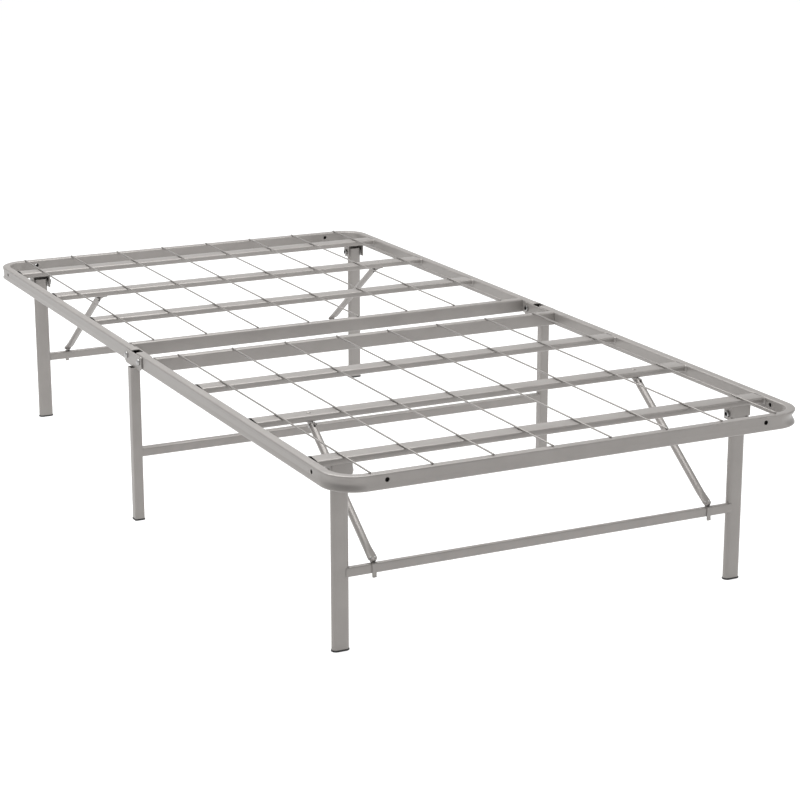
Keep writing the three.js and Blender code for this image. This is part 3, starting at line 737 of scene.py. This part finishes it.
for hand, sign in HANDS:
    for half, side in HALVES:
        bolt_piece(f"hinge_bolt_{half}_{hand}", "centre_frame")
        bolt_piece(f"{half}_leg_{hand}_bolt", f"{half}_half")

# ---- Diagonal braces ----
# Round steel tube, slotted at the top over a tab and turning there on a pin, and pressed flat at the
# bottom, where a riveted clip hooks over the stretcher. A plate riveted under the slat has the tab.
BRACE_RADIUS = 7 * MM
BRACE_WALL = 1.4 * MM
BRACE_SIDES = 28
BRACE_STEPS = 60
TOP_REACH = 3 * MM
END_REACH = 9.5 * MM
END_RISE = 7.5 * MM
PIVOT_INSET = 6 * MM
PIVOT_RISE = 5 * MM
SLOT_WIDTH = 4 * MM
SLOT_REACH = 9 * MM
FLAT_LENGTH = 26 * MM
FLAT_WIDENING = 0.28
FLAT_THINNING = 0.58
FLAT_LIFT = 2.2 * MM
TIP_LENGTH = 7 * MM
TIP_NARROWING = 0.8
CLIP_WIDTH = 8 * MM
CLIP_SHEET = 1.8 * MM
CLIP_BEND = 2 * MM
CLIP_GAP = 1 * MM
CLIP_START = 4 * MM
CLIP_CREST = 8 * MM
CLIP_START_DROP = 1.7 * MM
CLIP_CREST_DROP = 1.5 * MM
CLIP_SHOULDER = 0.4 * MM
CLIP_STRAIGHT_DROP = 4 * MM
CLIP_TIP_DROP = 6.5 * MM
CLIP_TIP_FLARE = 1.2 * MM
CLIP_TIP_HEIGHT = 0.1 * MM
CLIP_TIP_TAPER = 0.6
PIN_RADIUS = 2.6 * MM
PIN_HEAD_RADIUS = 3.8 * MM
PIN_HALF_LENGTH = 7.2 * MM
PIN_HEAD_HEIGHT = 1.1 * MM
PIN_SIDES = 20
RIVET_RADIUS = 1.9 * MM
RIVET_HEIGHT = 0.9 * MM
RIVET_REACH = 3 * MM
RIVET_SPACING = 4 * MM
SLAT_RIVET_RADIUS = 4.4 * MM
SLAT_RIVET_HEIGHT = 2 * MM
TAB_ROUNDING = 0.3 * MM


def smooth_step(t):
    """Eases from 0 to 1 as t goes from 0 to 1."""
    t = min(max(t, 0), 1)
    return t * t * (3 - 2 * t)


def dome(bm, place, radius, height, axis):
    """A low rounded rivet head, its long way along an axis."""
    turn = Vector((0, 0, 1)).rotation_difference(Vector(axis)).to_matrix().to_4x4()
    bmesh.ops.create_uvsphere(
        bm, u_segments=18, v_segments=10, radius=1,
        matrix=Matrix.Translation(place) @ turn @ Matrix.Diagonal((radius, radius, height, 1)))


for half, side in HALVES:
    stretcher_low, stretcher_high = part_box(f"{half}_stretcher")
    outer_y = side * max(side * stretcher_low.y, side * stretcher_high.y)
    inner_y = side * min(side * stretcher_low.y, side * stretcher_high.y)
    for hand, sign in HANDS:
        node = f"{half}_brace_{hand}"
        tab_low, tab_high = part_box(f"{node}_bracket")
        x = (tab_low.x + tab_high.x) / 2
        tab_y = side * max(side * tab_low.y, side * tab_high.y)
        pivot = Vector((x, tab_y - side * PIVOT_INSET, tab_low.z + PIVOT_RISE))
        end = Vector((x, inner_y, stretcher_high.z + END_RISE))
        along = (end - pivot).normalized()
        upward = Vector((0, side * -along.z, side * along.y))
        length = (end - pivot).length + END_REACH
        step = along * ((length + TOP_REACH) / BRACE_STEPS)
        place = axes((1, 0, 0), upward, pivot - along * TOP_REACH)
        bm = bmesh.new()
        skins = []
        for radius in (BRACE_RADIUS, BRACE_RADIUS - BRACE_WALL):
            before = set(bm.faces)
            made = bmesh.ops.create_circle(bm, cap_ends=False, segments=BRACE_SIDES, radius=radius)
            first = list({e for v in made["verts"] for e in v.link_edges})
            bmesh.ops.transform(bm, matrix=place, verts=made["verts"])
            last = first
            for number in range(BRACE_STEPS):
                last = run_on(bm, last, step)
            skins.append((first, last))
            if radius < BRACE_RADIUS:
                bmesh.ops.reverse_faces(bm, faces=[f for f in bm.faces if f not in before])
        for which in (0, 1):
            bmesh.ops.bridge_loops(bm, edges=skins[0][which] + skins[1][which])
        for v in bm.verts:
            t = (v.co - pivot).dot(along)
            across = v.co.x - x
            rise = (v.co - pivot).dot(upward)
            flat = smooth_step(1 - (length - END_REACH - t) / FLAT_LENGTH)
            tip = max(0, 1 - (length - t) / TIP_LENGTH)
            across *= (1 + FLAT_WIDENING * flat) * math.sqrt(1 - TIP_NARROWING * tip * tip)
            rise = rise * (1 - FLAT_THINNING * flat) + FLAT_LIFT * flat
            v.co = pivot + along * t + upward * rise + Vector((across, 0, 0))
        brace = finished(f"{node}_tube", bm, frame_paint, node, [node])
        slot = bmesh.new()
        slot_place = axes((1, 0, 0), upward, pivot)
        slot_size = Matrix.Diagonal((SLOT_WIDTH, 3 * BRACE_RADIUS, 2 * SLOT_REACH, 1))
        bmesh.ops.create_cube(slot, size=1, matrix=slot_place @ slot_size)
        cut_away(brace, slot)

        front = outer_y + side * (CLIP_SHEET / 2 + CLIP_GAP)
        path = (
            end - along * CLIP_START - upward * CLIP_START_DROP,
            end + along * CLIP_CREST - upward * CLIP_CREST_DROP,
            Vector((x, front, stretcher_high.z + CLIP_SHOULDER)),
            Vector((x, front, stretcher_low.z - CLIP_STRAIGHT_DROP)),
            Vector((x, front + side * CLIP_TIP_FLARE, stretcher_low.z - CLIP_TIP_DROP)))
        clip = bmesh.new()
        line = [clip.verts.new((p.x - CLIP_WIDTH / 2, p.y, p.z)) for p in path]
        for pair in zip(line, line[1:]):
            clip.edges.new(pair)
        bmesh.ops.bevel(
            clip, geom=line[1:-1], offset=CLIP_BEND, segments=4, profile=0.5,
            affect="VERTICES", material=-1)
        run_on(clip, list(clip.edges), (CLIP_WIDTH, 0, 0))
        tip_z = min(v.co.z for v in clip.verts)
        for v in clip.verts:
            if v.co.z < tip_z + CLIP_TIP_HEIGHT:
                v.co.x = x + (v.co.x - x) * CLIP_TIP_TAPER
        bmesh.ops.recalc_face_normals(clip, faces=clip.faces)
        bmesh.ops.solidify(clip, geom=clip.faces[:], thickness=CLIP_SHEET)
        finished(f"{node}_clip", clip, frame_paint, node, [])

        pins = bmesh.new()
        along_x = Matrix.Rotation(math.radians(90), 4, "Y")
        bmesh.ops.create_cone(
            pins, cap_ends=True, segments=PIN_SIDES, radius1=PIN_RADIUS, radius2=PIN_RADIUS,
            depth=2 * PIN_HALF_LENGTH, matrix=Matrix.Translation(pivot) @ along_x)
        flat_top = end + along * RIVET_REACH + upward * (FLAT_LIFT + BRACE_RADIUS * (1 - FLAT_THINNING))
        for reach in (-1, 1):
            pin_head = pivot + Vector((reach * PIN_HALF_LENGTH, 0, 0))
            dome(pins, pin_head, PIN_HEAD_RADIUS, PIN_HEAD_HEIGHT, (1, 0, 0))
            dome(pins, flat_top + Vector((reach * RIVET_SPACING, 0, 0)), RIVET_RADIUS, RIVET_HEIGHT, upward)
        finished(f"{node}_rivets", pins, zinc, node, [])
        plate_name = f"{half}_brace_bracket_{hand}_plate"
        softened(f"{node}_bracket", plate_name, f"{half}_half", TAB_ROUNDING)
        slat_low, slat_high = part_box(f"{half}_slat_2")
        rivet_place = (x, (slat_low.y + slat_high.y) / 2, slat_high.z)
        head = bmesh.new()
        dome(head, rivet_place, SLAT_RIVET_RADIUS, SLAT_RIVET_HEIGHT, (0, 0, 1))
        finished(f"{half}_slat_rivet_{hand}", head, frame_paint, f"{half}_half", [])

# ---- Size of the finished pieces ----
# The box round every piece that renders, the floor left out.
low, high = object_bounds()
